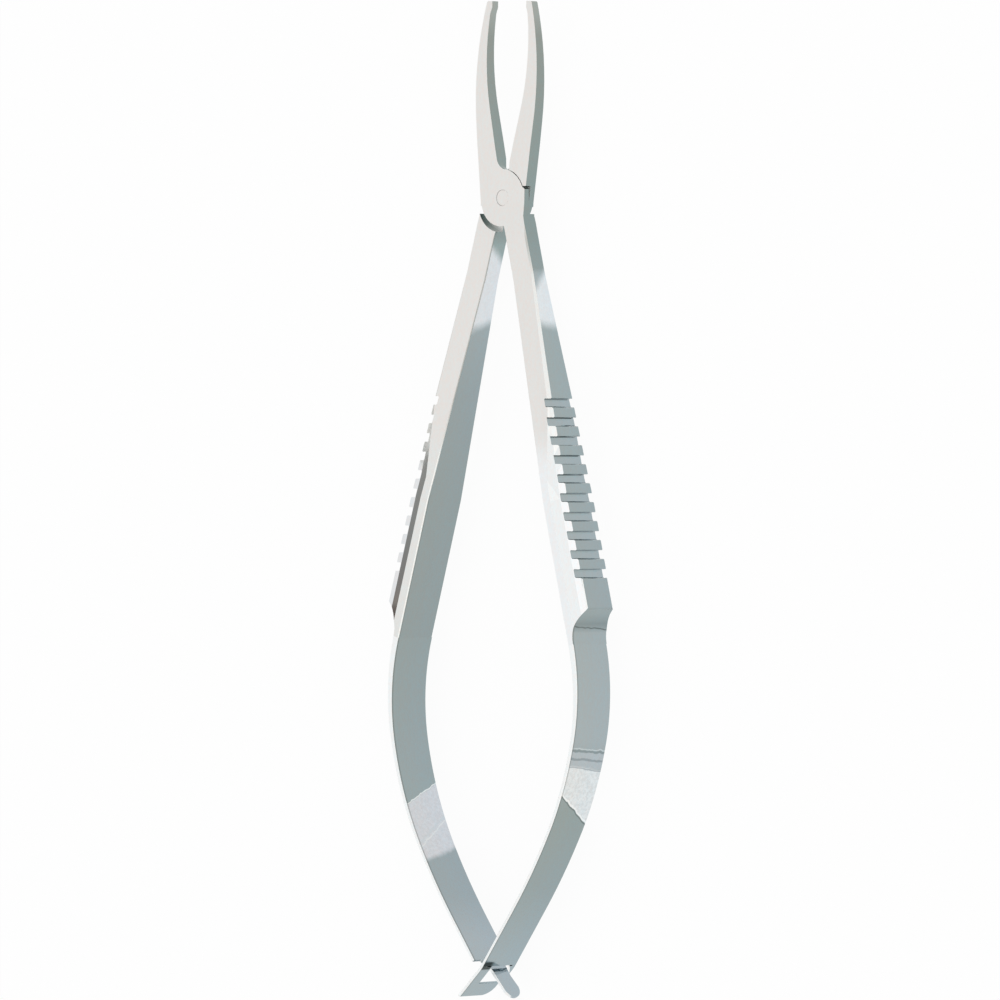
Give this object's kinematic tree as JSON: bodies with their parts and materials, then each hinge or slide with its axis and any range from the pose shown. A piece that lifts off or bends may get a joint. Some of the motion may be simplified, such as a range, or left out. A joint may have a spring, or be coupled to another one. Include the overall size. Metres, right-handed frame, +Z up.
{
  "type": "spring handled forceps",
  "caption": "Slim steel forceps with two arms crossed at a flush pivot, bowed narrow jaws with blunt tips, side-grooved grips and curved leaf springs that hook together at the rear.",
  "frame": {"origin": "middle of the outline seen from above, on the surface that the part lies on", "axes": "+Y along the instrument towards the jaws' tips, +X from the left handle to the right one, +Z up out of the plane in which the arms swing"},
  "size_m": [0.0376, 0.1399, 0.0071],
  "materials": {
    "satin_steel": "satin with polished sides",
    "spring_steel": "polished",
    "screw_steel": "satin"
  },
  "bodies": {
    "front_half": {"front_arm": "satin_steel", "front_spring": "spring_steel", "pivot_screw": "screw_steel"},
    "back_half": {"back_arm": "satin_steel", "back_spring": "spring_steel"}
  },
  "joints": [
    {"name": "pivot", "type": "hinge", "parent": "front_half", "child": "back_half", "pos_m": [0, 0.04234, 0.00355], "axis": [0, 0, 1], "range_deg": [0, 13], "stiffness_Nm_per_rad": 0.4, "deforming": ["front_spring", "back_spring"]}
  ]
}
